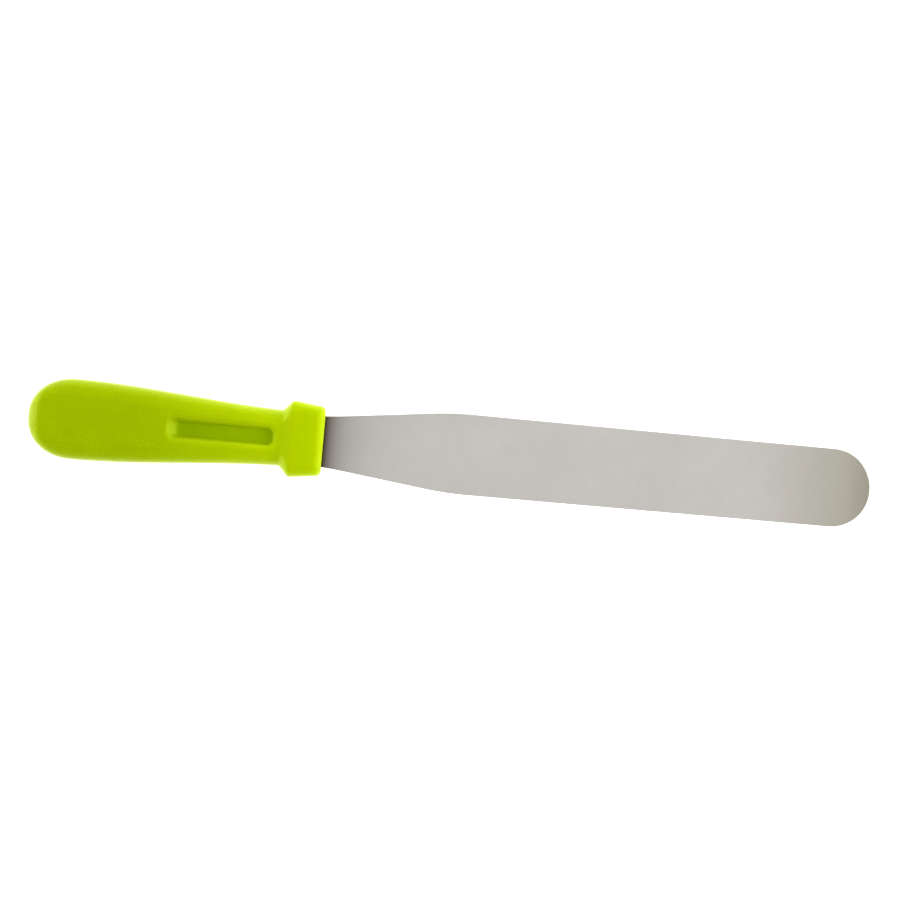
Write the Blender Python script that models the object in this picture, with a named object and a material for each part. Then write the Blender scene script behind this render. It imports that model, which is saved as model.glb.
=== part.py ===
"""A straight icing spatula: a flat steel blade whose hidden tang is locked in a moulded handle.

The frame: +X runs from the handle to the blade's tip, +Y across the blade and +Z up, square to the
blade's face. The origin is at the middle of the object's box, on the plane under the handle.
Distances along the tool are stations: metres from the handle's butt end.
"""

import math

import bmesh
import bpy
from mathutils import Matrix, Vector

# Blade: the steel that shows, from the collar's front face to the tip
BLADE_LENGTH = 0.254
BLADE_SHOULDER_WIDTH = 0.0376   # where the lines of the flare and of the long edges meet
BLADE_TIP_WIDTH = 0.0361        # where the round tip starts
BLADE_ROOT_WIDTH = 0.0232       # where it leaves the collar
BLADE_FLARE_LENGTH = 0.0585     # from the collar to the shoulders
BLADE_THICKNESS = 0.0011
ROOT_BLEND_RADIUS = 0.100
SHOULDER_RADIUS = 0.120
EDGE_BREAK = 0.00025            # the rounded edge all round the steel

# Tang: the steel inside the handle
ROOT_INSERT = 0.009             # how far the full root width goes into the collar
TANG_LENGTH = 0.094
TANG_WIDTH = 0.014
TANG_SHOULDER_RADIUS = 0.0015
TANG_END_RADIUS = 0.004
TANG_HOLE_DIAMETER = 0.006
TANG_HOLE_COUNT = 3
TANG_HOLE_SPACING = 0.024
TANG_END_TO_HOLE = 0.014        # from the tang's end to the centre of the first hole

# Handle: a solid moulding around the tang
HANDLE_LENGTH = 0.137
BUTT_WIDTH = 0.0372
BUTT_THICKNESS = 0.020
BUTT_ROUND_LENGTH = 0.0215      # the plan outline reaches its full width this far from the end
BUTT_ROUND_POWER = 2.15
BUTT_EDGE_LENGTH = 0.0075       # the side outline reaches its full thickness this far from the end
NECK_WIDTH = 0.0257
NECK_THICKNESS = 0.0152
TAPER_SLOPES = (0.0, 0.45)      # of the taper's curve where it leaves the butt and at the neck

# Collar: the flared block at the front of the handle
COLLAR_LENGTH = 0.0147
COLLAR_FLARE_LENGTH = 0.0053
COLLAR_BACK_WIDTH = 0.0356
COLLAR_FRONT_WIDTH = 0.0319
COLLAR_BACK_THICKNESS = 0.0190
COLLAR_FRONT_THICKNESS = 0.0172
COLLAR_CROWN = 0.00015          # how far each face bulges along the tool, half way down the collar
COLLAR_EDGE_RADIUS = 0.0020
FLARE_SLOPES = (0.35, 0.45)     # of the flare's curve at the neck and at the collar

# Cross-section powers: 2 is an ellipse, and a higher power has flatter faces
BUTT_POWER = 3.6
NECK_POWER = 2.8
COLLAR_POWER = 5.0
FACE_FLATTENING = 0.04          # share of the half thickness that is planed off each face's crown

# Thumb groove, one in each face
GROOVE_LENGTH = 0.0439          # of the flat floor
GROOVE_FLOOR_WIDTH = 0.0072
GROOVE_DEPTH = 0.0030           # under the face at the neck
GROOVE_TO_FLARE = 0.0033        # from the floor's end to the collar's flare
GROOVE_SIDE_SLOPE = 0.18        # run over rise of the two long walls
GROOVE_RAMP_SLOPE = 1.35        # of the ramp at the butt end
GROOVE_END_SLOPE = 0.18         # of the wall at the collar end
GROOVE_RAMP_RADIUS = 0.0009     # of the floor's corners at the butt end
GROOVE_RAMP_FLARE = 0.42        # how fast those corners grow with height
GROOVE_END_RADIUS = 0.0026      # and at the collar end
CUTTER_REACH = 0.003            # how far a groove's cutter stands clear of the handle
SLOT_REACH = 0.010              # and the slot's cutter

CLEARANCE = 0.0003              # between the steel and the moulding

# Mesh fineness
SECTION_POINTS = 44
BUTT_RINGS = 10
TAPER_RINGS = 16
FLARE_RINGS = 5
COLLAR_RINGS = 4
EDGE_RINGS = 4
ARC_STEP = math.radians(7.5)
EDGE_BREAK_SEGMENTS = 2

# What follows from the sizes above
OVERALL_LENGTH = HANDLE_LENGTH + BLADE_LENGTH
MID_HEIGHT = max(BUTT_THICKNESS, COLLAR_BACK_THICKNESS) / 2
NECK_STATION = HANDLE_LENGTH - COLLAR_LENGTH - COLLAR_FLARE_LENGTH
COLLAR_STATION = HANDLE_LENGTH - COLLAR_LENGTH
EDGE_STATION = HANDLE_LENGTH - COLLAR_EDGE_RADIUS
SHOULDER_STATION = HANDLE_LENGTH + BLADE_FLARE_LENGTH
TIP_STATION = OVERALL_LENGTH - BLADE_TIP_WIDTH / 2

STEEL_COLOUR = (0.60, 0.57, 0.54, 1.0)
PLASTIC_COLOUR = (0.40, 0.55, 0.004, 1.0)


def clear_scene():
    """Removes every object."""
    for thing in list(bpy.data.objects):
        bpy.data.objects.remove(thing, do_unlink=True)


def material(name, colour, roughness, metallic):
    """A plain Principled material."""
    made = bpy.data.materials.new(name)
    made.use_nodes = True
    shader = made.node_tree.nodes["Principled BSDF"]
    shader.inputs["Base Color"].default_value = colour
    shader.inputs["Roughness"].default_value = roughness
    shader.inputs["Metallic"].default_value = metallic
    return made


def mix(a, b, share):
    """The value this share of the way from a to b."""
    return a + (b - a) * share


def ease(t, slopes):
    """A cubic from 0 to 1 that starts and ends at these slopes."""
    start, end = slopes
    return 3 * t**2 - 2 * t**3 + start * (t**3 - 2 * t**2 + t) + end * (t**3 - t**2)


def ring(mesh, points, height):
    """Vertices in a loop, from points as (station, offset across), at a height over mid plane."""
    return [mesh.verts.new((x, y, height)) for x, y in points]


def bridge(mesh, first, second):
    """A band of quads between two loops of the same length."""
    for i in range(len(first)):
        j = (i + 1) % len(first)
        mesh.faces.new((first[i], first[j], second[j], second[i]))


def rounded(corners):
    """The points of a closed outline whose corners, as (x, y, radius), are rounded by arcs."""
    points = []
    for i, (x, y, radius) in enumerate(corners):
        here = Vector((x, y))
        if radius <= 0:
            points.append(here)
            continue
        back = (Vector(corners[i - 1][:2]) - here).normalized()
        ahead = (Vector(corners[(i + 1) % len(corners)][:2]) - here).normalized()
        half_angle = back.angle(ahead) / 2
        centre = here + (back + ahead).normalized() * radius / math.sin(half_angle)
        arm = here + back * radius / math.tan(half_angle) - centre
        turn = math.copysign(math.pi - 2 * half_angle, ahead.cross(back))
        steps = max(2, math.ceil(abs(turn) / ARC_STEP - 0.01))
        points += [centre + Matrix.Rotation(turn * k / steps, 2) @ arm for k in range(steps + 1)]
    return points


def place(mesh_data, name, surface=None):
    """Makes an object of the mesh, moved from stations and mid plane into the object's frame."""
    bmesh.ops.recalc_face_normals(mesh_data, faces=mesh_data.faces)
    mesh = bpy.data.meshes.new(name)
    mesh_data.to_mesh(mesh)
    mesh_data.free()
    made = bpy.data.objects.new(name, mesh)
    made.location = (-OVERALL_LENGTH / 2, 0, MID_HEIGHT)
    bpy.context.scene.collection.objects.link(made)
    if surface:
        mesh.materials.append(surface)
    return made


def cut(thing, cutter):
    """Cuts one object by another, which stays as a hidden helper."""
    cutter.hide_render = True
    cutter.display_type = "WIRE"
    modifier = thing.modifiers.new("cut_" + cutter.name, "BOOLEAN")
    modifier.operation = "DIFFERENCE"
    modifier.solver = "EXACT"
    modifier.object = cutter


def tang_side(gap):
    """One side of the tang and root as (station, half width, radius), grown by a gap all round."""
    shoulder = HANDLE_LENGTH - ROOT_INSERT - gap
    narrow = TANG_WIDTH / 2 + gap
    wide = BLADE_ROOT_WIDTH / 2 + gap
    return [
        (HANDLE_LENGTH - TANG_LENGTH - gap, narrow, TANG_END_RADIUS + gap),
        (shoulder, narrow, TANG_SHOULDER_RADIUS - gap),
        (shoulder, wide, TANG_SHOULDER_RADIUS + gap),
        (HANDLE_LENGTH, wide, ROOT_BLEND_RADIUS - gap),
    ]


def flare_half_width(beyond):
    """Half the blade's width on the flare's straight line, this far beyond the collar."""
    return mix(BLADE_ROOT_WIDTH, BLADE_SHOULDER_WIDTH, beyond / BLADE_FLARE_LENGTH) / 2


def both_sides(side):
    """A closed outline from one side's corners and their mirror image."""
    return [(x, -y, radius) for x, y, radius in side] + [corner for corner in reversed(side)]


def blade_outline():
    """The whole stamping's outline."""
    radius = BLADE_TIP_WIDTH / 2
    steps = math.ceil(math.pi / 2 / ARC_STEP)
    turns = [math.pi / 2 * (1 - k / steps) for k in range(steps)]
    tip = [(TIP_STATION + radius * math.cos(t), radius * math.sin(t), 0) for t in turns]
    side = tang_side(0) + [(SHOULDER_STATION, flare_half_width(BLADE_FLARE_LENGTH), SHOULDER_RADIUS)]
    outline = both_sides(side + tip)
    outline.insert(len(side + tip), (OVERALL_LENGTH, 0, 0))
    return rounded(outline)


def slot_outline():
    """The outline of the handle's slot, from the tang's end out past the collar's front face."""
    mouth = (HANDLE_LENGTH + SLOT_REACH, flare_half_width(SLOT_REACH) + CLEARANCE, 0)
    return rounded(both_sides(tang_side(CLEARANCE) + [mouth]))


def tang_holes(radius):
    """The outlines of the tang's holes, or of the plastic plugs through them."""
    steps = math.ceil(2 * math.pi / ARC_STEP / 2) * 2
    first = HANDLE_LENGTH - TANG_LENGTH + TANG_END_TO_HOLE
    holes = []
    for k in range(TANG_HOLE_COUNT):
        centre = Vector((first + k * TANG_HOLE_SPACING, 0))
        arm = Vector((radius, 0))
        holes.append([centre + Matrix.Rotation(2 * math.pi * i / steps, 2) @ arm for i in range(steps)])
    return holes


def plate(outlines, thickness):
    """A flat plate about the mid plane: the first outline is its edge, and the others are holes."""
    mesh = bmesh.new()
    for points in outlines:
        loop = ring(mesh, points, -thickness / 2)
        for i in range(len(loop)):
            mesh.edges.new((loop[i - 1], loop[i]))
    bmesh.ops.triangle_fill(mesh, edges=mesh.edges, use_beauty=True, use_dissolve=False)
    raised = bmesh.ops.extrude_face_region(mesh, geom=mesh.faces, use_keep_orig=True)["geom"]
    verts = [item for item in raised if isinstance(item, bmesh.types.BMVert)]
    bmesh.ops.translate(mesh, verts=verts, vec=(0, 0, thickness))
    bmesh.ops.recalc_face_normals(mesh, faces=mesh.faces)
    return mesh


def break_edges(mesh):
    """Rounds the edges between a plate's faces and its sides."""
    rims = [edge for edge in mesh.edges if edge.calc_face_angle(0) > math.radians(60)]
    bmesh.ops.bevel(
        mesh, geom=rims, offset=EDGE_BREAK, segments=EDGE_BREAK_SEGMENTS, profile=0.5, affect="EDGES"
    )


def divide_across(mesh, station):
    """A line across the plate, so that no face of the blade runs on from one stretch to the next."""
    geometry = mesh.verts[:] + mesh.edges[:] + mesh.faces[:]
    bmesh.ops.bisect_plane(mesh, geom=geometry, plane_co=(station, 0, 0), plane_no=(1, 0, 0))


def build_blade(surface):
    """The blade and its tang, stamped from one sheet."""
    mesh = plate([blade_outline()] + tang_holes(TANG_HOLE_DIAMETER / 2), BLADE_THICKNESS)
    break_edges(mesh)
    for station in (HANDLE_LENGTH + CLEARANCE, SHOULDER_STATION, TIP_STATION):
        divide_across(mesh, station)
    return place(mesh, "blade", surface)


def handle_sections():
    """The handle's sections as (station, half width, half thickness, power), butt to collar."""
    sections = []
    butt = (BUTT_WIDTH / 2, BUTT_THICKNESS / 2)
    neck = (NECK_WIDTH / 2, NECK_THICKNESS / 2)
    back = (COLLAR_BACK_WIDTH / 2, COLLAR_BACK_THICKNESS / 2)
    front = (COLLAR_FRONT_WIDTH / 2, COLLAR_FRONT_THICKNESS / 2)
    for k in range(1, BUTT_RINGS + 1):
        station = BUTT_ROUND_LENGTH * (1 - math.cos(math.pi / 2 * k / BUTT_RINGS))
        short = max(0, 1 - station / BUTT_ROUND_LENGTH)
        thin = max(0, 1 - station / BUTT_EDGE_LENGTH)
        width = butt[0] * (1 - short**BUTT_ROUND_POWER) ** (1 / BUTT_ROUND_POWER)
        thickness = butt[1] * math.sqrt(1 - thin**2)
        sections.append((station, width, thickness, BUTT_POWER))
    for k in range(1, TAPER_RINGS + 1):
        t = k / TAPER_RINGS
        share = ease(t, TAPER_SLOPES)
        sections.append((
            mix(BUTT_ROUND_LENGTH, NECK_STATION, t), mix(butt[0], neck[0], share),
            mix(butt[1], neck[1], share), mix(BUTT_POWER, NECK_POWER, share),
        ))
    for k in range(1, FLARE_RINGS + 1):
        t = k / FLARE_RINGS
        share = ease(t, FLARE_SLOPES)
        sections.append((
            mix(NECK_STATION, COLLAR_STATION, t), mix(neck[0], back[0], share),
            mix(neck[1], back[1], share), mix(NECK_POWER, COLLAR_POWER, share),
        ))
    for k in range(1, COLLAR_RINGS + EDGE_RINGS + 1):
        turn = math.pi / 2 * max(0, k - COLLAR_RINGS) / EDGE_RINGS
        inset = COLLAR_EDGE_RADIUS * (1 - math.cos(turn))
        station = mix(COLLAR_STATION, EDGE_STATION, min(1, k / COLLAR_RINGS))
        station += COLLAR_EDGE_RADIUS * math.sin(turn)
        share = (station - COLLAR_STATION) / COLLAR_LENGTH
        width, thickness = (mix(a, b, share) - inset for a, b in zip(back, front))
        thickness += 4 * COLLAR_CROWN * share * (1 - share)
        sections.append((station, width, thickness, COLLAR_POWER))
    return sections


def section_ring(mesh, section):
    """The vertices round one cross-section, with a flat strip down the middle of each face."""
    station, width, thickness, power = section
    verts = []
    for k in range(SECTION_POINTS):
        turn = 2 * math.pi * (k + 0.5) / SECTION_POINTS
        across, up = math.cos(turn), math.sin(turn)
        y = math.copysign(abs(across) ** (2 / power), across) * width
        crown = abs(up) ** (2 / power) * (1 + FACE_FLATTENING)
        verts.append(mesh.verts.new((station, y, math.copysign(min(1, crown) * thickness, up))))
    return verts


def groove_outline(rise):
    """The groove's outline as (station, offset across), this far over its floor."""
    end = NECK_STATION - GROOVE_TO_FLARE
    low = end - GROOVE_LENGTH - GROOVE_RAMP_SLOPE * rise
    high = end + GROOVE_END_SLOPE * rise
    side = GROOVE_FLOOR_WIDTH / 2 + GROOVE_SIDE_SLOPE * rise
    ramp_radius = GROOVE_RAMP_RADIUS + GROOVE_RAMP_FLARE * rise
    end_radius = GROOVE_END_RADIUS + GROOVE_END_SLOPE * rise
    return rounded([
        (low, -side, ramp_radius), (high, -side, end_radius),
        (high, side, end_radius), (low, side, ramp_radius),
    ])


def groove_cutter(name, facing):
    """The solid that cuts the groove in the upper face, facing 1, or in the lower, facing -1."""
    floor = NECK_THICKNESS / 2 - GROOVE_DEPTH
    top = MID_HEIGHT + CUTTER_REACH
    mesh = bmesh.new()
    low = ring(mesh, groove_outline(0), facing * floor)
    high = ring(mesh, groove_outline(top - floor), facing * top)
    bridge(mesh, low, high)
    mesh.faces.new(low)
    mesh.faces.new(high)
    return place(mesh, name)


def build_handle(surface):
    """The moulded handle, with its slot for the tang and a thumb groove in each face."""
    mesh = bmesh.new()
    end = mesh.verts.new((0, 0, 0))
    rings = [section_ring(mesh, section) for section in handle_sections()]
    for i in range(SECTION_POINTS):
        mesh.faces.new((end, rings[0][i - 1], rings[0][i]))
    for first, second in zip(rings, rings[1:]):
        bridge(mesh, first, second)
    mesh.faces.new(rings[-1])
    handle = place(mesh, "handle", surface)
    cut(handle, groove_cutter("upper_groove_cutter", 1))
    cut(handle, groove_cutter("lower_groove_cutter", -1))
    plugs = tang_holes(TANG_HOLE_DIAMETER / 2 - CLEARANCE)
    slot = plate([slot_outline()] + plugs, BLADE_THICKNESS + 2 * CLEARANCE)
    cut(handle, place(slot, "tang_slot_cutter"))
    return handle


def main():
    """Builds the two pieces."""
    clear_scene()
    build_blade(material("blade_steel", STEEL_COLOUR, 0.32, 1.0))
    build_handle(material("handle_plastic", PLASTIC_COLOUR, 0.38, 0.0))


main()
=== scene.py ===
"""Studio scene of a straight icing spatula: a round-tipped steel blade in a lime moulded handle.

The tool lies along X with its handle's butt towards -X and its tip towards +X, across Y, and its
faces look up and down Z. A station is a distance from the butt end, along the tool. All lengths are
in metres.
"""

from __future__ import annotations

import logging
import math
from dataclasses import dataclass, field
from enum import Enum
from typing import Sequence, Union

import bmesh
import bpy
from mathutils import Matrix, Vector


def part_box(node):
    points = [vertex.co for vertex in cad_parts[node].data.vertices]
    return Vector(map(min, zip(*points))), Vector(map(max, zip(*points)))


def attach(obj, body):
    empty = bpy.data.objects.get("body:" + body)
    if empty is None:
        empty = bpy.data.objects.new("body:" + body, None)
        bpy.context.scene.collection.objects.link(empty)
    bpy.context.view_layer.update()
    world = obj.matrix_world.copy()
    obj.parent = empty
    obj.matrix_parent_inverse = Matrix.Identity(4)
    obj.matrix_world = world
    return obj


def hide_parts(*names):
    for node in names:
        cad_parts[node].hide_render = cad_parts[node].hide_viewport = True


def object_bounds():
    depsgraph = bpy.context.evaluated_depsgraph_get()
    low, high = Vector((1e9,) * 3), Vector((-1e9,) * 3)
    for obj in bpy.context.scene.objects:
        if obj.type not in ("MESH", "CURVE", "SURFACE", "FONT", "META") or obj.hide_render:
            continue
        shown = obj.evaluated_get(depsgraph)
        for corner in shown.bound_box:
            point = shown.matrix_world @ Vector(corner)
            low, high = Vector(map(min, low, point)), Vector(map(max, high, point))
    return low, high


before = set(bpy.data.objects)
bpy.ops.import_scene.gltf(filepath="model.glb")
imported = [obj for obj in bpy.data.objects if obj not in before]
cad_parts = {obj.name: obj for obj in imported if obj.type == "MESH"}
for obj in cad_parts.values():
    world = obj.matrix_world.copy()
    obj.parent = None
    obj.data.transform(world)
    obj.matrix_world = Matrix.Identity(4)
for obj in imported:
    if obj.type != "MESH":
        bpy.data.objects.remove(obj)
CAD_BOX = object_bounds()

LOG = logging.getLogger("icing_spatula")
MM = 0.001
SHARP_ANGLE = math.radians(50)  # a wider turn between two faces is shaded as an edge

Colour = tuple[float, float, float]
Span = tuple[float, float]
Feed = Union[float, Sequence[float], bpy.types.NodeSocket]


class Slot(Enum):
    """The record's material slots."""

    STEEL = "blade_steel"
    PLASTIC = "handle_plastic"


# ---------------------------------------------------------------------------------------------
# Shading
# ---------------------------------------------------------------------------------------------


class Board:
    """A node tree that is being wired up."""

    def __init__(self, tree: bpy.types.NodeTree) -> None:
        """Starts on a tree.

        Args:
            tree: The material's, world's or group's node tree.
        """
        self.tree = tree

    def node(self, kind: str, **settings: object) -> bpy.types.Node:
        """Adds a node.

        Args:
            kind: The node's type name.
            settings: Properties to set on it.

        Returns:
            The new node.
        """
        made = self.tree.nodes.new(kind)
        for name, value in settings.items():
            setattr(made, name, value)
        return made

    def feed(self, socket: bpy.types.NodeSocket, source: Feed) -> None:
        """Links an output to an input, or sets the input's value.

        Args:
            socket: The input.
            source: An output socket, a number or a tuple.
        """
        if isinstance(source, bpy.types.NodeSocket):
            self.tree.links.new(source, socket)
        else:
            socket.default_value = source

    def math(self, operation: str, first: Feed, second: Feed = 0.0) -> bpy.types.NodeSocket:
        """Adds a Math node.

        Args:
            operation: The node's operation.
            first: Its first input.
            second: Its second input.

        Returns:
            The result.
        """
        made = self.node("ShaderNodeMath", operation=operation)
        self.feed(made.inputs[0], first)
        self.feed(made.inputs[1], second)
        return made.outputs[0]

    def spread(
        self, value: Feed, low: float, high: float, to_low: float = 0.0, to_high: float = 1.0
    ) -> bpy.types.NodeSocket:
        """Maps a value smoothly from one range on to another, held at its ends.

        Args:
            value: What is mapped.
            low: Where the first range starts.
            high: Where it ends.
            to_low: The result at its start.
            to_high: The result at its end.

        Returns:
            The mapped value.
        """
        made = self.node("ShaderNodeMapRange", interpolation_type="SMOOTHSTEP")
        for socket, source in zip(made.inputs, (value, low, high, to_low, to_high)):
            self.feed(socket, source)
        return made.outputs[0]

    def noise(self, vector: Feed, scale: Feed, detail: float = 2.0) -> bpy.types.NodeSocket:
        """Adds a noise texture.

        Args:
            vector: Its coordinates.
            scale: Its scale.
            detail: Its octaves.

        Returns:
            A value of about 0.5 that varies between 0 and 1.
        """
        made = self.node("ShaderNodeTexNoise")
        self.feed(made.inputs["Vector"], vector)
        self.feed(made.inputs["Scale"], scale)
        self.feed(made.inputs["Detail"], detail)
        return made.outputs["Fac"]

    def stretch(self, vector: Feed, scale: Feed, turn: float = 0.0) -> bpy.types.NodeSocket:
        """Turns coordinates about Z and scales them.

        Args:
            vector: The coordinates.
            scale: The scale along each axis.
            turn: The turn in radians.

        Returns:
            The new coordinates.
        """
        made = self.node("ShaderNodeMapping")
        self.feed(made.inputs["Vector"], vector)
        self.feed(made.inputs["Rotation"], (0.0, 0.0, turn))
        self.feed(made.inputs["Scale"], scale)
        return made.outputs["Vector"]

    def blend(self, share: Feed, first: Feed, second: Feed) -> bpy.types.NodeSocket:
        """Mixes two colours.

        Args:
            share: How much of the second.
            first: The first colour.
            second: The second colour.

        Returns:
            The mixed colour.
        """
        made = self.node("ShaderNodeMix", data_type="RGBA", blend_type="MIX")
        self.feed(made.inputs[0], share)
        self.feed(made.inputs[6], first)
        self.feed(made.inputs[7], second)
        return made.outputs[2]

    def split(self, vector: Feed) -> list[bpy.types.NodeSocket]:
        """Splits coordinates.

        Args:
            vector: The coordinates.

        Returns:
            X, Y and Z.
        """
        made = self.node("ShaderNodeSeparateXYZ")
        self.feed(made.inputs[0], vector)
        return list(made.outputs)

    def weigh(self, start: Feed, *parts: tuple[Feed, float]) -> bpy.types.NodeSocket:
        """Adds values up, each times its weight.

        Args:
            start: What the sum starts from.
            parts: The values and their weights.

        Returns:
            The sum.
        """
        total = start
        for value, weight in parts:
            total = self.math("ADD", total, self.math("MULTIPLY", value, weight))
        return total

    def bump(self, height: Feed, distance: float) -> bpy.types.NodeSocket:
        """Adds a bump node.

        Args:
            height: The height map.
            distance: The depth in metres that a height of 1 stands for.

        Returns:
            The bent normal.
        """
        made = self.node("ShaderNodeBump")
        self.feed(made.inputs["Height"], height)
        self.feed(made.inputs["Distance"], distance)
        return made.outputs["Normal"]

    def place(self, group: bpy.types.NodeTree, **inputs: Feed) -> bpy.types.NodeSocket:
        """Places a node group and feeds its inputs.

        Args:
            group: The group.
            inputs: Its inputs, by name, with underscores for spaces.

        Returns:
            What the group puts out.
        """
        made = self.node("ShaderNodeGroup", node_tree=group)
        for name, source in inputs.items():
            self.feed(made.inputs[name.replace("_", " ")], source)
        return made.outputs[0]


def opaque(colour: Colour) -> tuple[float, float, float, float]:
    """The colour with full alpha."""
    return (*colour, 1.0)


def new_group(
    name: str, inputs: dict[str, Feed], output: str
) -> tuple[Board, dict[str, bpy.types.NodeSocket], bpy.types.NodeSocket]:
    """Makes an empty shader node group.

    Args:
        name: Its name.
        inputs: The names and default values of its inputs, besides Vector.
        output: The name of its output.

    Returns:
        A board on its tree, its inputs by name, and the socket that its result feeds.
    """
    tree = bpy.data.node_groups.new(name, "ShaderNodeTree")
    tree.interface.new_socket(name="Vector", in_out="INPUT", socket_type="NodeSocketVector")
    for label, default in inputs.items():
        kind = "NodeSocketFloat" if isinstance(default, float) else "NodeSocketVector"
        socket = tree.interface.new_socket(name=label, in_out="INPUT", socket_type=kind)
        socket.default_value = default
    tree.interface.new_socket(name=output, in_out="OUTPUT", socket_type="NodeSocketFloat")
    board = Board(tree)
    given = {s.name: s for s in board.node("NodeGroupInput").outputs if s.name}
    return board, given, board.node("NodeGroupOutput").inputs[output]


@dataclass(frozen=True)
class Effects:
    """The effects that both finishes use, each a node group."""

    mottle: bpy.types.NodeTree
    grain: bpy.types.NodeTree
    scratches: bpy.types.NodeTree

    @classmethod
    def build(cls) -> Effects:
        """Makes the groups.

        Returns:
            The effects.
        """
        return cls(cls._mottle(), cls._grain(), cls._scratches())

    @staticmethod
    def _mottle() -> bpy.types.NodeTree:
        """Soft clouds of two sizes.

        Returns:
            The group, which puts out Cloud.
        """
        board, given, out = new_group("cloudy_mottle", {"Size": 0.02, "Fine Share": 0.35}, "Cloud")
        scale = board.math("DIVIDE", 1.0, given["Size"])
        broad = board.noise(given["Vector"], scale, 2.0)
        fine = board.noise(given["Vector"], board.math("MULTIPLY", scale, 5.3), 3.0)
        lean = board.math("SUBTRACT", fine, broad)
        cloud = board.math("ADD", broad, board.math("MULTIPLY", lean, given["Fine Share"]))
        board.feed(out, board.spread(cloud, 0.3, 0.7))
        return board.tree

    @staticmethod
    def _grain() -> bpy.types.NodeTree:
        """Fine surface grain, which can be drawn out along the tool.

        Returns:
            The group, which puts out Grain.
        """
        board, given, out = new_group(
            "fine_grain", {"Size": 0.0003, "Stretch": (1.0, 1.0, 1.0)}, "Grain"
        )
        drawn = board.stretch(given["Vector"], given["Stretch"])
        scale = board.math("DIVIDE", 1.0, given["Size"])
        first = board.noise(drawn, scale, 2.0)
        second = board.noise(drawn, board.math("MULTIPLY", scale, 0.31), 1.0)
        board.feed(out, board.math("MULTIPLY", board.math("ADD", first, second), 0.5))
        return board.tree

    @staticmethod
    def _scratches() -> bpy.types.NodeTree:
        """Sparse hairline scratches that lean a little either way.

        Returns:
            The group, which puts out Scratch.
        """
        board, given, out = new_group("hairline_scratches", {"Spacing": 0.004, "Amount": 0.5}, "Scratch")
        scale = board.math("DIVIDE", 1.0, given["Spacing"])
        broad = board.noise(given["Vector"], board.math("MULTIPLY", scale, 0.21))
        patch = board.spread(broad, 0.52, 0.68)
        total: Feed = 0.0
        for turn, along in ((0.16, 0.035), (-0.31, 0.05), (1.35, 0.06)):
            lean = board.stretch(given["Vector"], (along, 1.0, 1.0), turn)
            lines = board.math("ABSOLUTE", board.math("SUBTRACT", board.noise(lean, scale, 1.0), 0.5))
            hair = board.spread(lines, 0.0, 0.006, 1.0, 0.0)
            total = board.math("MAXIMUM", total, board.math("MULTIPLY", hair, patch))
        board.feed(out, board.math("MULTIPLY", total, given["Amount"]))
        return board.tree


def new_material(name: str) -> tuple[bpy.types.Material, Board, bpy.types.Node, bpy.types.NodeSocket]:
    """Makes a material with a Principled shader.

    Args:
        name: Its name.

    Returns:
        The material, a board on its tree, the shader, and the object coordinates.
    """
    made = bpy.data.materials.new(name)
    made.use_nodes = True
    board = Board(made.node_tree)
    shader = made.node_tree.nodes["Principled BSDF"]
    coordinates = board.node("ShaderNodeTexCoord").outputs["Object"]
    return made, board, shader, coordinates


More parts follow.
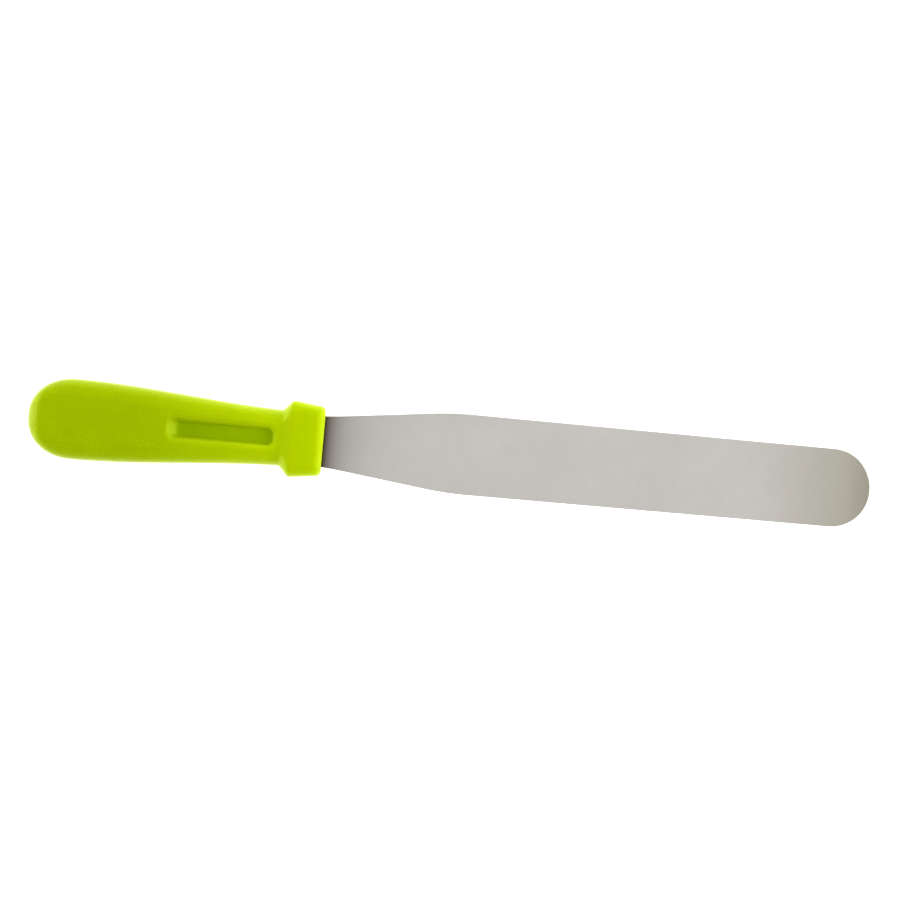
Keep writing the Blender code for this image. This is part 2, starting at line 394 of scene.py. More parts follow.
@dataclass(frozen=True)
class MouldedPlastic:
    """Lime polypropylene from a lightly spark-eroded mould, with painted shade that darkens it towards the
    butt and on the grooves' floors.
    """

    where: Place
    colour: Colour = (0.430, 0.590, 0.0)
    # Painted shade: the darker lime towards the butt.
    butt_shade_colour: Colour = (0.303, 0.418, 0.0)
    butt_shade_until: float = 0.30
    pale_colour: Colour = (0.500, 0.680, 0.002)
    # Painted shade: the darker lime on the grooves' floors.
    groove_shade_colour: Colour = (0.225, 0.376, 0.0)
    groove_shade_share: float = 0.54
    groove_shade_height: Span = (4.8 * MM, 6.6 * MM)
    groove_shade_half_width: Span = (3.4 * MM, 4.6 * MM)
    groove_shade_from_butt: Span = (50 * MM, 60 * MM)
    groove_shade_from_front: Span = (14 * MM, 18 * MM)
    refraction: float = 1.49
    gloss: float = 0.28
    gloss_tint: Colour = (0.80, 1.0, 0.0)
    translucency: float = 0.35
    scatter: Colour = (1.0, 1.0, 0.15)
    scatter_depth: float = 0.0022
    bloom: float = 0.25
    bloom_roughness: float = 0.45
    bloom_tint: Colour = (1.0, 0.92, 0.0)
    roughness: float = 0.32
    cloud_size: float = 16 * MM
    speck_size: float = 1.1 * MM
    scratch_spacing: float = 6 * MM
    texture_size: float = 0.00032
    texture_depth: float = 0.000012

    def build(self, effects: Effects) -> bpy.types.Material:
        """Wires up the material.

        Args:
            effects: The shared node groups.

        Returns:
            The material.
        """
        made, board, shader, place = new_material("lime_moulded_plastic")
        cloud = board.place(effects.mottle, Vector=place, Size=self.cloud_size, Fine_Share=0.4)
        speck = board.place(effects.mottle, Vector=place, Size=self.speck_size, Fine_Share=0.5)
        grain = board.place(effects.grain, Vector=place, Size=self.texture_size)
        scratch = board.place(effects.scratches, Vector=place, Spacing=self.scratch_spacing, Amount=0.5)
        x, y, z = board.split(place)
        # Painted shade: the lime darkens from near the collar towards the butt, mottled by the clouds.
        butt_shade_end = mix(self.where.butt_x, self.where.front_x, self.butt_shade_until)
        front_light_and_mottle = board.spread(x, butt_shade_end, self.where.front_x, 0.08, 0.92)
        front_light_and_mottle = board.weigh(front_light_and_mottle, (board.math("SUBTRACT", cloud, 0.5), 0.16))
        tint_and_shade = board.blend(front_light_and_mottle, opaque(self.butt_shade_colour), opaque(self.colour))
        pale = board.math("MULTIPLY", board.spread(speck, 0.45, 1.0), 0.28)
        tint_and_shade = board.blend(pale, tint_and_shade, opaque(self.pale_colour))
        worn = board.math("MULTIPLY", scratch, 0.35)
        tint_and_shade = board.blend(worn, tint_and_shade, opaque(self.pale_colour))
        # Painted shade: darker lime on the grooves' floors.
        groove_shade = board.math("MULTIPLY", self._groove_shade(board, x, y, z), self.groove_shade_share)
        board.feed(shader.inputs["Base Color"], board.blend(groove_shade, tint_and_shade, opaque(self.groove_shade_colour)))
        rough = board.weigh(self.roughness, (cloud, 0.05), (grain, 0.05), (scratch, 0.10))
        board.feed(shader.inputs["Roughness"], rough)
        height = board.weigh(grain, (scratch, -0.4))
        board.feed(shader.inputs["Normal"], board.bump(height, self.texture_depth))
        shader.inputs["IOR"].default_value = self.refraction
        shader.inputs["Specular IOR Level"].default_value = self.gloss
        shader.inputs["Specular Tint"].default_value = opaque(self.gloss_tint)
        shader.inputs["Sheen Weight"].default_value = self.bloom
        shader.inputs["Sheen Roughness"].default_value = self.bloom_roughness
        shader.inputs["Sheen Tint"].default_value = opaque(self.bloom_tint)
        shader.inputs["Subsurface Weight"].default_value = self.translucency
        shader.inputs["Subsurface Radius"].default_value = self.scatter
        shader.inputs["Subsurface Scale"].default_value = self.scatter_depth
        return made

    def _groove_shade(
        self, board: Board, x: bpy.types.NodeSocket, y: bpy.types.NodeSocket, z: bpy.types.NodeSocket
    ) -> bpy.types.NodeSocket:
        """Where painted shade darkens the thumb grooves' floors: low under the faces, along the middle of
        the grip.

        Args:
            board: The material's board.
            x: The coordinate along the tool.
            y: The coordinate across it.
            z: The height.

        Returns:
            The share of painted shade: 1 on a groove's floor and 0 elsewhere.
        """
        height = board.math("ABSOLUTE", board.math("SUBTRACT", z, self.where.middle_z))
        low = board.spread(height, *self.groove_shade_height, 1.0, 0.0)
        inner = board.spread(board.math("ABSOLUTE", y), *self.groove_shade_half_width, 1.0, 0.0)
        past_butt = board.spread(x, *(self.where.butt_x + far for far in self.groove_shade_from_butt))
        near, far = self.groove_shade_from_front
        front = self.where.front_x
        before_collar = board.spread(x, front - far, front - near, 1.0, 0.0)
        along = board.math("MULTIPLY", past_butt, before_collar)
        return board.math("MULTIPLY", board.math("MULTIPLY", low, inner), along)


@dataclass(frozen=True)
class SatinSteel:
    """Stainless sheet, ground along its length and then lightly polished, with painted shadow at the collar
    and painted shade towards and round the tip.
    """

    front_x: float
    tip_x: float
    colour: Colour = (0.635, 0.609, 0.578)
    dull_colour: Colour = (0.560, 0.535, 0.500)
    # Painted shadow: the near-black steel next to the collar.
    root_shadow_colour: Colour = (0.030, 0.010, 0.002)
    root_shadow_reach: float = 13 * MM
    # Painted shade: the darker, olive steel towards the tip.
    tip_shade_colour: Colour = (0.470, 0.450, 0.375)
    tip_shade_reach: float = 62 * MM
    # Painted shade: extra darkening over the tip's last few millimetres.
    tip_rim_shade_colour: Colour = (0.200, 0.190, 0.140)
    tip_rim_shade_reach: float = 14 * MM
    tip_rim_shade_share: float = 0.3
    # Painted dark reflection on the tip's rounded edge.
    tip_edge_shade_colour: Colour = (0.060, 0.058, 0.050)
    tip_edge_shade_reach: Span = (8 * MM, 17 * MM)
    tip_edge_shade_share: float = 0.9
    roughness: float = 0.25
    cloud_size: float = 30 * MM
    stain_size: float = 9 * MM
    scratch_spacing: float = 5 * MM
    grain_size: float = 0.00022
    grain_stretch: tuple[float, float, float] = (0.035, 1.0, 1.0)
    grain_depth: float = 0.0000028

    def build(self, effects: Effects) -> bpy.types.Material:
        """Wires up the material.

        Args:
            effects: The shared node groups.

        Returns:
            The material.
        """
        made, board, shader, place = new_material("satin_stainless")
        cloud = board.place(effects.mottle, Vector=place, Size=self.cloud_size, Fine_Share=0.3)
        stain = board.place(effects.mottle, Vector=place, Size=self.stain_size, Fine_Share=0.5)
        drawn = board.place(effects.grain, Vector=place, Size=self.grain_size, Stretch=self.grain_stretch)
        scratch = board.place(effects.scratches, Vector=place, Spacing=self.scratch_spacing, Amount=0.8)
        x = board.split(place)[0]
        dull = opaque(self.dull_colour)
        polish_and_shade = board.blend(board.math("MULTIPLY", cloud, 0.5), opaque(self.colour), dull)
        polish_and_shade = board.blend(board.math("MULTIPLY", stain, 0.12), polish_and_shade, dull)
        # Painted shadow: near-black at the collar, falling off along the blade.
        beyond = board.math("MAXIMUM", board.math("SUBTRACT", x, self.front_x), 0.0)
        shadow_fall = board.math("ADD", board.math("DIVIDE", beyond, self.root_shadow_reach), 1.0)
        near = board.math("DIVIDE", 1.0, board.math("POWER", shadow_fall, 2.0))
        polish_and_shade = board.blend(near, polish_and_shade, opaque(self.root_shadow_colour))
        # Painted shade: darker towards the tip, and darker still over its last few millimetres.
        to_tip = board.math("SUBTRACT", self.tip_x, x)
        end = board.spread(to_tip, 0.0, self.tip_shade_reach, 1.0, 0.0)
        polish_and_shade = board.blend(end, polish_and_shade, opaque(self.tip_shade_colour))
        tip_rim_shade = board.spread(to_tip, 0.0, self.tip_rim_shade_reach, self.tip_rim_shade_share, 0.0)
        polish_and_shade = board.blend(tip_rim_shade, polish_and_shade, opaque(self.tip_rim_shade_colour))
        # Painted shade: a dark reflection on the rounded edge round the tip.
        edge = self._tip_edge_shade(board, to_tip)
        board.feed(shader.inputs["Base Color"], board.blend(edge, polish_and_shade, opaque(self.tip_edge_shade_colour)))
        rough = board.weigh(self.roughness, (cloud, 0.06), (drawn, 0.07), (scratch, 0.08))
        board.feed(shader.inputs["Roughness"], rough)
        height = board.weigh(drawn, (scratch, -0.5))
        board.feed(shader.inputs["Normal"], board.bump(height, self.grain_depth))
        shader.inputs["Metallic"].default_value = 1.0
        return made

    def _tip_edge_shade(self, board: Board, to_tip: bpy.types.NodeSocket) -> bpy.types.NodeSocket:
        """How much painted dark reflection shows on the edge: where the surface turns down, round the tip.

        Args:
            board: The material's board.
            to_tip: The distance to the tip, along the tool.

        Returns:
            The share of the painted edge reflection's colour.
        """
        normal = board.node("ShaderNodeTexCoord").outputs["Normal"]
        upright = board.math("ABSOLUTE", board.split(normal)[2])
        steep = board.spread(upright, 0.55, 0.95, 1.0, 0.0)
        arc = board.spread(to_tip, *self.tip_edge_shade_reach, self.tip_edge_shade_share, 0.0)
        return board.math("MULTIPLY", steep, arc)


@dataclass(frozen=True)
class StudioPaper:
    """Pale paper that is lit from behind, and clear from below."""

    colour: Colour = (0.93, 0.93, 0.925)
    glow: float = 0.85
    tooth_scale: float = 900.0

    def build(self) -> bpy.types.Material:
        """Wires up the material.

        Returns:
            The material.
        """
        made, board, shader, place = new_material("studio_paper")
        tooth = board.noise(place, self.tooth_scale, 2.0)
        board.feed(shader.inputs["Base Color"], opaque(self.colour))
        board.feed(shader.inputs["Roughness"], board.spread(tooth, 0.3, 0.7, 0.85, 0.95))
        shader.inputs["Specular IOR Level"].default_value = 0.1
        shader.inputs["Emission Color"].default_value = (1.0, 1.0, 1.0, 1.0)
        shader.inputs["Emission Strength"].default_value = self.glow
        out = made.node_tree.nodes["Material Output"]
        clear = board.node("ShaderNodeBsdfTransparent")
        side = board.node("ShaderNodeNewGeometry")
        mixed = board.node("ShaderNodeMixShader")
        board.feed(mixed.inputs[0], side.outputs["Backfacing"])
        board.feed(mixed.inputs[1], shader.outputs[0])
        board.feed(mixed.inputs[2], clear.outputs[0])
        board.feed(out.inputs["Surface"], mixed.outputs[0])
        return made


# ---------------------------------------------------------------------------------------------
# Shaping
# ---------------------------------------------------------------------------------------------


def mix(first: float, second: float, share: float) -> float:
    """The value this share of the way from the first to the second."""
    return first + (second - first) * share


def smooth_step(value: float) -> float:
    """An S-curve from 0 to 1, held at its ends."""
    held = min(1.0, max(0.0, value))
    return held * held * (3 - 2 * held)


def soft_min(first: float, second: float, width: float) -> float:
    """The lower of two values, with a round corner of this width where they cross."""
    near = max(width - abs(first - second), 0.0) / width
    return min(first, second) - near * near * width / 4


def cubic(share: float, slopes: Span) -> float:
    """A curve from 0 to 1 with these slopes at its start and its end."""
    start, end = slopes
    rise = 3 * share**2 - 2 * share**3
    return rise + start * (share**3 - 2 * share**2 + share) + end * (share**3 - share**2)


def of_kind(items: Sequence[object], kind: type) -> list:
    """The items of one kind, such as the vertices."""
    return [item for item in items if isinstance(item, kind)]


def to_object(mesh: bmesh.types.BMesh, name: str) -> bpy.types.Object:
    """Turns a bmesh into an object of the scene.

    Args:
        mesh: The mesh, which is freed.
        name: The object's name.

    Returns:
        The object.
    """
    bmesh.ops.recalc_face_normals(mesh, faces=mesh.faces)
    data = bpy.data.meshes.new(name)
    mesh.to_mesh(data)
    mesh.free()
    made = bpy.data.objects.new(name, data)
    bpy.context.scene.collection.objects.link(made)
    return made


def carve(piece: bpy.types.Object, cutter: bpy.types.Object) -> None:
    """Cuts a piece by a cutter, and removes the cutter.

    Args:
        piece: What is cut.
        cutter: What cuts it.
    """
    modifier = piece.modifiers.new("carve", "BOOLEAN")
    modifier.operation = "DIFFERENCE"
    modifier.solver = "MANIFOLD"
    modifier.object = cutter
    cut = bpy.data.meshes.new_from_object(piece.evaluated_get(bpy.context.evaluated_depsgraph_get()))
    piece.modifiers.clear()
    old, piece.data = piece.data, cut
    cut.name = piece.name
    bpy.data.meshes.remove(old)
    bpy.data.objects.remove(cutter, do_unlink=True)


def dress(piece: bpy.types.Object, finish: bpy.types.Material, node: str) -> None:
    """Gives a piece its finish and its place in the frame.

    Args:
        piece: The piece.
        finish: Its material.
        node: The CAD node that the piece stands for.
    """
    piece.data.materials.clear()
    piece.data.materials.append(finish)
    piece.data.shade_smooth()
    piece.data.set_sharp_from_angle(angle=SHARP_ANGLE)
    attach(piece, "root")
    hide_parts(node)
    LOG.info("%s: %d faces, %s", piece.name, len(piece.data.polygons), finish.name)


@dataclass(frozen=True)
class Corner:
    """A corner of a flat plate's outline, by station and offset, and how it is rounded."""

    station: float
    across: float
    radius: float = 0.0


@dataclass(frozen=True)
class Place:
    """Where the tool lies, read from the CAD nodes."""

    butt_x: float
    front_x: float
    tip_x: float
    middle_z: float
    sheet: float

    @classmethod
    def read(cls) -> Place:
        """Reads the CAD boxes.

        Returns:
            The place.
        """
        handle_low, handle_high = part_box("handle")
        blade_low, blade_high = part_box("blade")
        middle = (blade_low[2] + blade_high[2]) / 2
        return cls(handle_low[0], handle_high[0], blade_high[0], middle, blade_high[2] - blade_low[2])

    @property
    def handle_length(self) -> float:
        """From the butt end to the collar's front face."""
        return self.front_x - self.butt_x

    @property
    def length(self) -> float:
        """From the butt end to the blade's tip."""
        return self.tip_x - self.butt_x

    def settle(self, mesh: bmesh.types.BMesh) -> None:
        """Moves a mesh from stations and heights over mid plane to its place."""
        bmesh.ops.translate(mesh, verts=mesh.verts, vec=(self.butt_x, 0.0, self.middle_z))


@dataclass
class Plate:
    """A flat plate about the mid plane, from its corners."""

    corners: list[Corner]
    thickness: float
    arc_step: float = math.radians(4)

    def build(self) -> bmesh.types.BMesh:
        """Rounds the corners and raises the plate.

        Returns:
            The plate as a closed mesh.
        """
        mesh = bmesh.new()
        verts = [mesh.verts.new((c.station, c.across, -self.thickness / 2)) for c in self.corners]
        mesh.faces.new(verts)
        for i, corner in enumerate(self.corners):
            if corner.radius:
                self._round(mesh, verts[i], corner, self.corners[i - 1], self.corners[(i + 1) % len(verts)])
        raised = bmesh.ops.extrude_face_region(mesh, geom=mesh.faces[:], use_keep_orig=True)["geom"]
        top = of_kind(raised, bmesh.types.BMVert)
        bmesh.ops.translate(mesh, verts=top, vec=(0, 0, self.thickness))
        bmesh.ops.recalc_face_normals(mesh, faces=mesh.faces)
        return mesh

    def _round(
        self, mesh: bmesh.types.BMesh, vert: bmesh.types.BMVert, corner: Corner, back: Corner, ahead: Corner
    ) -> None:
        """Rounds one corner by its radius.

        Args:
            mesh: The flat outline.
            vert: The corner's vertex.
            corner: The corner.
            back: The corner before it.
            ahead: The corner after it.
        """
        here = Vector((corner.station, corner.across))
        inner = (Vector((back.station, back.across)) - here).angle(
            Vector((ahead.station, ahead.across)) - here
        )
        bmesh.ops.bevel(
            mesh, geom=[vert], affect="VERTICES", offset=corner.radius / math.tan(inner / 2),
            segments=max(2, math.ceil((math.pi - inner) / self.arc_step)), profile=0.5, material=-1,
        )


@dataclass
class Tang:
    """The steel inside the handle, and the slot and plugs that hold it."""

    place: Place
    insert: float = 9 * MM
    length: float = 94 * MM
    width: float = 14 * MM
    root_width: float = 23.2 * MM
    shoulder_radius: float = 1.5 * MM
    end_radius: float = 4 * MM
    blend_radius: float = 100 * MM
    hole_radius: float = 3 * MM
    hole_count: int = 3
    hole_steps: int = 48
    hole_spacing: float = 24 * MM
    end_to_hole: float = 14 * MM

    def side(self, gap: float) -> list[Corner]:
        """One side of the tang and the root, grown by a gap.

        Args:
            gap: How much it is grown all round.

        Returns:
            The corners from the tang's end to the collar's front face.
        """
        front = self.place.handle_length
        shoulder = front - self.insert - gap
        return [
            Corner(front - self.length - gap, self.width / 2 + gap, self.end_radius + gap),
            Corner(shoulder, self.width / 2 + gap, self.shoulder_radius - gap),
            Corner(shoulder, self.root_width / 2 + gap, self.shoulder_radius + gap),
            Corner(front, self.root_width / 2 + gap, self.blend_radius - gap),
        ]

    def pegs(self, gap: float) -> bpy.types.Object:
        """Round pegs through the holes, thinner by a gap.

        Args:
            gap: How much their radius is smaller than the holes'.

        Returns:
            The pegs as one cutter.
        """
        mesh = bmesh.new()
        for k in range(self.hole_count):
            station = self.place.handle_length - self.length + self.end_to_hole + k * self.hole_spacing
            radius = self.hole_radius - gap
            bmesh.ops.create_cone(
                mesh, cap_ends=True, segments=self.hole_steps, radius1=radius, radius2=radius,
                depth=4 * self.place.sheet, matrix=Matrix.Translation((station, 0.0, 0.0)),
            )
        self.place.settle(mesh)
        return to_object(mesh, "pegs")


def both_sides(side: list[Corner]) -> list[Corner]:
    """A closed outline from one side's corners and their mirror image."""
    return [Corner(c.station, -c.across, c.radius) for c in side] + list(reversed(side))


@dataclass
class Blade:
    """The stamped blade with its tang."""

    place: Place
    tang: Tang
    flare_length: float = 58.5 * MM
    shoulder_width: float = 37.6 * MM
    tip_width: float = 36.1 * MM
    tip_fullness: float = 0.9995
    shoulder_radius: float = 120 * MM
    edge_round: float = 0.34 * MM
    edge_steps: int = 4
    edge_angle: float = math.radians(60)
    border: float = 0.35 * MM

    def flare_half_width(self, beyond: float) -> float:
        """Half the width on the flare's straight line, this far beyond the collar."""
        return mix(self.tang.root_width, self.shoulder_width, beyond / self.flare_length) / 2

    def outline(self) -> list[Corner]:
        """The stamping's corners.

        Returns:
            The closed outline.
        """
        radius = self.tip_width / 2
        shoulder = self.place.handle_length + self.flare_length
        side = self.tang.side(0.0) + [
            Corner(shoulder, self.shoulder_width / 2, self.shoulder_radius),
            Corner(self.place.length, radius, radius * self.tip_fullness),
        ]
        return both_sides(side)

    def build(self) -> bpy.types.Object:
        """Stamps the blade, breaks its edges and lays it in place.

        Returns:
            The blade.
        """
        mesh = Plate(self.outline(), self.place.sheet).build()
        rims = [e for e in mesh.edges if e.calc_face_angle(0.0) > self.edge_angle]
        bmesh.ops.bevel(
            mesh, geom=rims, affect="EDGES", offset=self.edge_round, segments=self.edge_steps,
            profile=0.5, material=-1,
        )
        faces = [f for f in mesh.faces if abs(f.normal.z) > 0.9999]
        bmesh.ops.inset_region(mesh, faces=faces, thickness=self.border, use_even_offset=True)
        self.place.settle(mesh)
        blade = to_object(mesh, "blade_with_tang")
        carve(blade, self.tang.pegs(0.0))
        return blade


@dataclass(frozen=True)
class Section:
    """A cross-section of the handle: half sizes, and how square it is (2 is an ellipse).

    The flattening makes a flat strip along each face, and the bend is how softly it ends.
    """

    half_width: float
    half_thickness: float
    power: float
    flattening: float = 0.04
    bend: float = 0.02

    def point(self, turn: float) -> tuple[float, float]:
        """A point of the section.

        Args:
            turn: From 0 to 8, an eighth of the way round for each whole number, from +Y by +Z.

        Returns:
            Its offset across and its height.
        """
        eighth = int(turn) % 8
        share = turn - int(turn)
        corner = 2 ** (-1 / self.power)
        low = corner * (share if eighth % 2 == 0 else 1 - share)
        high = (1 - low**self.power) ** (1 / self.power)
        across, up = (high, low) if eighth in (0, 3, 4, 7) else (low, high)
        up = soft_min(up * (1 + self.flattening), 1.0, self.bend)
        across = -across if eighth in (2, 3, 4, 5) else across
        up = -up if eighth > 3 else up
        return across * self.half_width, up * self.half_thickness


@dataclass
class ThumbGroove:
    """The long groove in each face: a ramp at its butt end, steep walls and softly rolled lips."""

    ramp_start: float = 63.9 * MM
    floor_start: float = 69.9 * MM
    floor_end: float = 113.9 * MM
    half_width: float = 3.95 * MM
    floor_height: float = 4.6 * MM
    ramp_corner: float = 3.5 * MM
    end_corner: float = 3.3 * MM
    wall: float = 0.24 * MM
    ramp_wall: float = 0.55 * MM
    lip: float = 2.6 * MM
    lip_inside: float = 0.6 * MM
    lip_share: float = 0.24
    ramp_ease: float = 0.55
    ramp_foot: float = 0.2
    far_outside: float = 60.0

    def beyond_wall(self, station: float, across: float) -> float:
        """How far a point is outside the line of the walls, seen from above.

        Args:
            station: The point's station.
            across: Its offset across.

        Returns:
            The distance, negative inside the groove.
        """
        middle = (self.ramp_start + self.floor_end) / 2
        radius = self.ramp_corner if station < middle else self.end_corner
        along = abs(station - middle) - (self.floor_end - self.ramp_start) / 2 + radius
        aside = abs(across) - self.half_width + radius
        return math.hypot(max(along, 0.0), max(aside, 0.0)) + min(max(along, aside), 0.0) - radius

    def sink(self, station: float, across: float, height: float) -> float:
        """The surface's height with the groove in it.

        Args:
            station: The point's station.
            across: Its offset across.
            height: Its height over mid plane on the plain handle, above or below.

        Returns:
            Its new height.
        """
        beyond = self.beyond_wall(station, across)
        if beyond > self.lip:
            return height
        deep = smooth_step((station - self.ramp_start) / (2 * (self.floor_start - self.ramp_start)))
        wall = mix(self.ramp_wall, self.wall, deep)
        steep = 1 / (1 + math.exp(min(self.far_outside, beyond / wall)))
        rolled = 1 - smooth_step((beyond + self.lip_inside) / (self.lip + self.lip_inside))
        along = (station - self.ramp_start) / (self.floor_start - self.ramp_start)
        ramp = mix(soft_min(max(along, 0.0), 1.0, self.ramp_foot), smooth_step(along), self.ramp_ease)
        share = ((1 - self.lip_share) * steep + self.lip_share * rolled) * ramp
        return math.copysign(mix(abs(height), self.floor_height, share), height)


@dataclass
class Handle:
    """The moulded handle: its butt, taper, flared collar, grooves and slot."""

    place: Place
    tang: Tang
    groove: ThumbGroove = field(default_factory=ThumbGroove)
    butt: Section = Section(18.6 * MM, 10.0 * MM, 3.6)
    neck: Section = Section(12.85 * MM, 7.6 * MM, 2.8)
    collar_back: Section = Section(17.8 * MM, 9.5 * MM, 5.0)
    collar_front: Section = Section(15.95 * MM, 8.6 * MM, 5.0)
    collar_crown: float = 0.15 * MM
    butt_round: float = 21.5 * MM
    butt_round_power: float = 2.15
    butt_edge: float = 7.5 * MM
    taper_slopes: Span = (0.0, 0.45)
    flare_slopes: Span = (0.35, 0.45)
    collar_length: float = 14.7 * MM
    flare_length: float = 5.3 * MM
    front_edge: float = 3.8 * MM
    front_drop: float = 2.2 * MM
    front_power: float = 1.5
    front_corner: float = 2.0 * MM
    front_border: float = 0.4 * MM
    soften: float = 0.7 * MM
    soften_steps: int = 3
    parting_height: float = 0.05 * MM
    parting_half: float = 0.22 * MM
    slot_gap: float = 0.06 * MM
    slot_reach: float = 10 * MM
    butt_rings: int = 40
    front_rings: int = 10
    plain_step: float = 1.2 * MM
    bend_step: float = 0.3 * MM
    floor_step: float = 0.9 * MM
    end_step: float = 0.2 * MM
    collar_step: float = 0.8 * MM
    face_steps: int = 48
    side_steps: int = 13
    parting_turns: tuple[float, ...] = (0.0, 0.009, 0.018, 0.028, 0.045)
    side_start: float = 0.09

    @property
    def neck_station(self) -> float:
        """Where the neck ends and the flare starts."""
        return self.place.handle_length - self.collar_length - self.flare_length

    @property
    def collar_station(self) -> float:
        """Where the flare ends and the collar starts."""
        return self.place.handle_length - self.collar_length

    def plain_section(self, station: float) -> Section:
        """The section with sharp joins between butt, taper, flare and collar.

        Args:
            station: Where it is.

        Returns:
            The section.
        """
        if station < self.butt_round:
            short = 1 - station / self.butt_round
            thin = max(0.0, 1 - station / self.butt_edge)
            return Section(
                self.butt.half_width * (1 - short**self.butt_round_power) ** (1 / self.butt_round_power),
                self.butt.half_thickness * math.sqrt(1 - thin**2),
                self.butt.power,
            )
        if station < self.neck_station:
            taper_length = self.neck_station - self.butt_round
            share = cubic((station - self.butt_round) / taper_length, self.taper_slopes)
            return self._between(self.butt, self.neck, share)
        if station < self.collar_station:
            share = cubic((station - self.neck_station) / self.flare_length, self.flare_slopes)
            return self._between(self.neck, self.collar_back, share)
        share = (station - self.collar_station) / self.collar_length
        plain = self._between(self.collar_back, self.collar_front, share)
        crown = 4 * self.collar_crown * share * (1 - share)
        return Section(plain.half_width, plain.half_thickness + crown, plain.power)

    @staticmethod
    def _between(first: Section, second: Section, share: float) -> Section:
        """The section this share of the way between two."""
        return Section(
            mix(first.half_width, second.half_width, share),
            mix(first.half_thickness, second.half_thickness, share),
            mix(first.power, second.power, share),
        )

    def section(self, station: float) -> Section:
        """The section with the moulding's soft joins and its rounded front edge.

        Args:
            station: Where it is.

        Returns:
            The section.
        """
        edge = self.place.handle_length - self.front_edge
        if station > edge:
            turned = min(1.0, (station - edge) / self.front_edge)
            drop = self.front_drop * (1 - (1 - turned**self.front_power) ** (1 / self.front_power))
            beyond = max(0.0, station - self.place.handle_length + self.front_corner)
            inset = self.front_corner - math.sqrt(max(0.0, self.front_corner**2 - beyond**2))
            plain = self.plain_section(station)
            return Section(plain.half_width - inset, plain.half_thickness - drop, plain.power)
        reach = min(self.soften, max(0.0, station - self.butt_round), edge - station)
        steps = range(-self.soften_steps, self.soften_steps + 1)
        near = [self.plain_section(station + reach * k / self.soften_steps) for k in steps]
        weights = [1 - abs(k) / (self.soften_steps + 1) for k in steps]
        total = sum(weights)
        return Section(
            sum(w * s.half_width for w, s in zip(weights, near)) / total,
            sum(w * s.half_thickness for w, s in zip(weights, near)) / total,
            sum(w * s.power for w, s in zip(weights, near)) / total,
        )

    def stations(self) -> list[float]:
        """Where the rings lie: close where the shape turns fast, wide where it is plain.

        Returns:
            The stations in order.
        """
        quarter = math.pi / 2
        found = [
            self.butt_round * (1 - math.cos(quarter * k / self.butt_rings))
            for k in range(1, self.butt_rings + 1)
        ]
        spans = [
            (self.groove.ramp_start - 2.9 * MM, self.plain_step),
            (self.groove.floor_start + 2.1 * MM, self.bend_step),
            (self.groove.floor_end - 4.9 * MM, self.floor_step),
            (self.groove.floor_end + 2.1 * MM, self.end_step),
            (self.collar_station + 1.5 * MM, self.bend_step),
            (self.place.handle_length - self.front_edge, self.collar_step),
        ]
        for end, step in spans:
            start = found[-1]
            count = max(1, round((end - start) / step))
            found += [mix(start, end, k / count) for k in range(1, count + 1)]
        edge = found[-1]
        return found + [
            edge + self.front_edge * math.sin(quarter * k / self.front_rings)
            for k in range(1, self.front_rings + 1)
        ]

    def turns(self) -> list[float]:
        """Where the points lie round a section: close at the parting line.

        Returns:
            The turns, from 0 to 8.
        """
        side = list(self.parting_turns)
        side += [mix(self.side_start, 1.0, k / self.side_steps) for k in range(self.side_steps)]
        face = [k / self.face_steps for k in range(self.face_steps)]
        found: list[float] = []
        for quarter in range(4):
            rising, falling = (side, face) if quarter % 2 == 0 else (face, side)
            found += [2 * quarter + share for share in rising]
            found += [2 * quarter + 2 - share for share in reversed(falling[1:] + [1.0])]
        return found

    def build(self) -> bpy.types.Object:
        """Draws the sections out along the tool, sinks the grooves and opens the slot.

        Returns:
            The handle.
        """
        mesh = bmesh.new()
        turns = self.turns()
        mark = mesh.verts.layers.float.new("turn")
        first = bmesh.ops.create_circle(mesh, segments=len(turns), radius=1 * MM)["verts"]
        for vert, turn in zip(first, turns):
            vert[mark] = turn
        rim = mesh.edges[:]
        stations = self.stations()
        self._shape(first, mark, stations[0])
        start = rim
        for station in stations[1:]:
            drawn = bmesh.ops.extrude_edge_only(mesh, edges=rim)["geom"]
            rim = of_kind(drawn, bmesh.types.BMEdge)
            self._shape(of_kind(drawn, bmesh.types.BMVert), mark, station)
        self._close_butt(mesh, start)
        self._close_front(mesh, rim)
        self.place.settle(mesh)
        handle = to_object(mesh, "moulded_handle")
        carve(handle, self._slot_cutter())
        return handle

    def _shape(self, verts: list[bmesh.types.BMVert], mark: object, station: float) -> None:
        """Sets one ring's vertices on the section at a station.

        Args:
            verts: The ring.
            mark: The layer that holds each vertex's turn.
            station: The ring's station.
        """
        section = self.section(station)
        for vert in verts:
            across, up = section.point(vert[mark])
            ridge = self.parting_height * (1 - smooth_step(abs(up) / self.parting_half))
            across += math.copysign(ridge, across)
            vert.co = (station, across, self.groove.sink(station, across, up))

    @staticmethod
    def _close_butt(mesh: bmesh.types.BMesh, rim: list[bmesh.types.BMEdge]) -> None:
        """Draws the first ring together at the butt end."""
        drawn = bmesh.ops.extrude_edge_only(mesh, edges=rim)["geom"]
        bmesh.ops.pointmerge(mesh, verts=of_kind(drawn, bmesh.types.BMVert), merge_co=(0, 0, 0))

    def _close_front(self, mesh: bmesh.types.BMesh, rim: list[bmesh.types.BMEdge]) -> None:
        """Closes the collar's front face, with a narrow border that keeps its shading flat."""
        face = bmesh.ops.contextual_create(mesh, geom=rim)["faces"]
        bmesh.ops.inset_region(mesh, faces=face, thickness=self.front_border, use_even_offset=True)

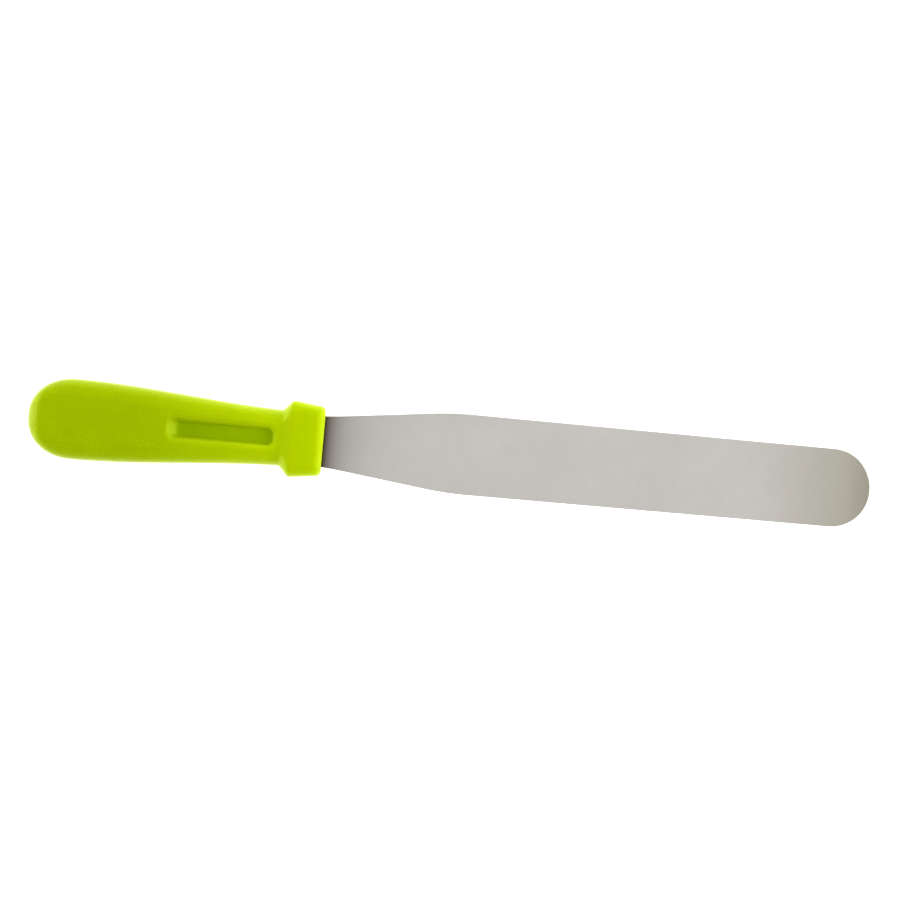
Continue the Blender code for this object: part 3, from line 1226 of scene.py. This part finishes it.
    def _slot_cutter(self) -> bpy.types.Object:
        """The solid that opens the slot, with the plugs left standing.

        Returns:
            The cutter.
        """
        mouth = Blade(self.place, self.tang).flare_half_width(self.slot_reach) + self.slot_gap
        side = self.tang.side(self.slot_gap)
        side.append(Corner(self.place.handle_length + self.slot_reach, mouth))
        mesh = Plate(both_sides(side), self.place.sheet + 2 * self.slot_gap).build()
        self.place.settle(mesh)
        cutter = to_object(mesh, "slot_cutter")
        carve(cutter, self.tang.pegs(self.slot_gap))
        return cutter


# ---------------------------------------------------------------------------------------------
# Studio
# ---------------------------------------------------------------------------------------------


@dataclass
class SoftPanel:
    """A soft panel of light that looks at a point."""

    name: str
    towards: tuple[float, float, float]
    distance: float
    size: Span
    power: float
    aim: tuple[float, float, float] = (0.0, 0.0, 0.0)

    def build(self) -> None:
        """Hangs the panel."""
        light = bpy.data.lights.new(self.name, "AREA")
        light.shape = "RECTANGLE"
        light.size, light.size_y = self.size
        light.energy = self.power
        made = bpy.data.objects.new(self.name, light)
        back = Vector(self.towards).normalized()
        made.location = Vector(self.aim) + back * self.distance
        made.rotation_euler = back.to_track_quat("Z", "Y").to_euler()
        bpy.context.scene.collection.objects.link(made)


@dataclass
class Studio:
    """The floor, the light and the camera."""

    place: Place
    span: float = 416.5 * MM
    roll: float = math.radians(5.17)
    offset: Span = (0.39 * MM, 1.40 * MM)
    distance: float = 3.0
    sensor: float = 36.0
    floor_reach: float = 4.0
    floor_drop: float = 0.1 * MM
    sky: float = 0.80
    sky_edge: float = 0.9
    far_lean: float = 0.04
    tip_lean: float = 0.25

    def build(self) -> None:
        """Builds all three."""
        self._floor()
        self._world()
        for panel in self._panels():
            panel.build()
        self._camera()
        view = bpy.context.scene.view_settings
        view.view_transform = "Standard"
        view.look = "None"

    def _floor(self) -> None:
        """A wide sheet of paper under the tool."""
        mesh = bmesh.new()
        bmesh.ops.create_grid(mesh, x_segments=2, y_segments=2, size=self.floor_reach)
        bmesh.ops.translate(mesh, verts=mesh.verts, vec=(0, 0, CAD_BOX[0][2] - self.floor_drop))
        floor = to_object(mesh, "studio_floor")
        if floor.data.polygons[0].normal.z < 0:
            floor.data.flip_normals()
        floor.data.materials.append(StudioPaper().build())

    def _world(self) -> None:
        """A soft sky, a little brighter on the far side and past the tip."""
        world = bpy.data.worlds.new("soft_sky")
        world.use_nodes = True
        bpy.context.scene.world = world
        board = Board(world.node_tree)
        x, y, _ = board.split(board.node("ShaderNodeTexCoord").outputs["Generated"])
        back = world.node_tree.nodes["Background"]
        back.inputs["Color"].default_value = (1.0, 1.0, 1.0, 1.0)
        edge = self.sky_edge
        far = board.spread(y, -edge, edge, 1.0 - self.far_lean, 1.0 + self.far_lean)
        tip = board.spread(x, -edge, edge, 1.0 - self.tip_lean, 1.0 + self.tip_lean)
        lean = board.math("MULTIPLY", far, tip)
        board.feed(back.inputs["Strength"], board.math("MULTIPLY", self.sky, lean))

    def _panels(self) -> list[SoftPanel]:
        """The lights: one over the collar, one low on the far side and one at each end."""
        over = (self.place.front_x + 20 * MM, 0.0, 0.0)
        return [
            SoftPanel("top_panel", (0.0, 0.0, 1.0), 0.9, (0.55, 0.8), 0.2, over),
            SoftPanel("far_panel", (0.0, 1.0, 0.16), 1.1, (1.6, 0.30), 4.7),
            SoftPanel("left_panel", (-1.0, 0.0, 0.16), 0.9, (0.8, 0.26), 3.4),
            SoftPanel("right_panel", (1.0, 0.15, 0.40), 0.8, (0.5, 0.35), 4.1),
        ]

    def _camera(self) -> None:
        """A long lens straight over the tool, turned a little about its axis."""
        data = bpy.data.cameras.new("long_lens")
        data.sensor_width = self.sensor
        data.lens = self.sensor * self.distance / self.span
        data.clip_start, data.clip_end = 0.1, 20.0
        camera = bpy.data.objects.new("camera", data)
        middle = Vector(((self.place.butt_x + self.place.tip_x) / 2, 0.0, self.place.middle_z))
        turn = Matrix.Rotation(self.roll, 3, "Z")
        camera.location = middle + turn @ Vector((*self.offset, self.distance))
        camera.rotation_euler = (0.0, 0.0, self.roll)
        bpy.context.scene.collection.objects.link(camera)
        bpy.context.scene.camera = camera


def main() -> None:
    """Builds the pieces and the studio."""
    logging.basicConfig(level=logging.INFO, format="%(name)s: %(message)s")
    place = Place.read()
    effects = Effects.build()
    tang = Tang(place)
    steel = SatinSteel(place.front_x, place.tip_x).build(effects)
    dress(Blade(place, tang).build(), steel, "blade")
    dress(Handle(place, tang).build(), MouldedPlastic(place).build(effects), "handle")
    Studio(place).build()


if __name__ == "__main__":
    main()
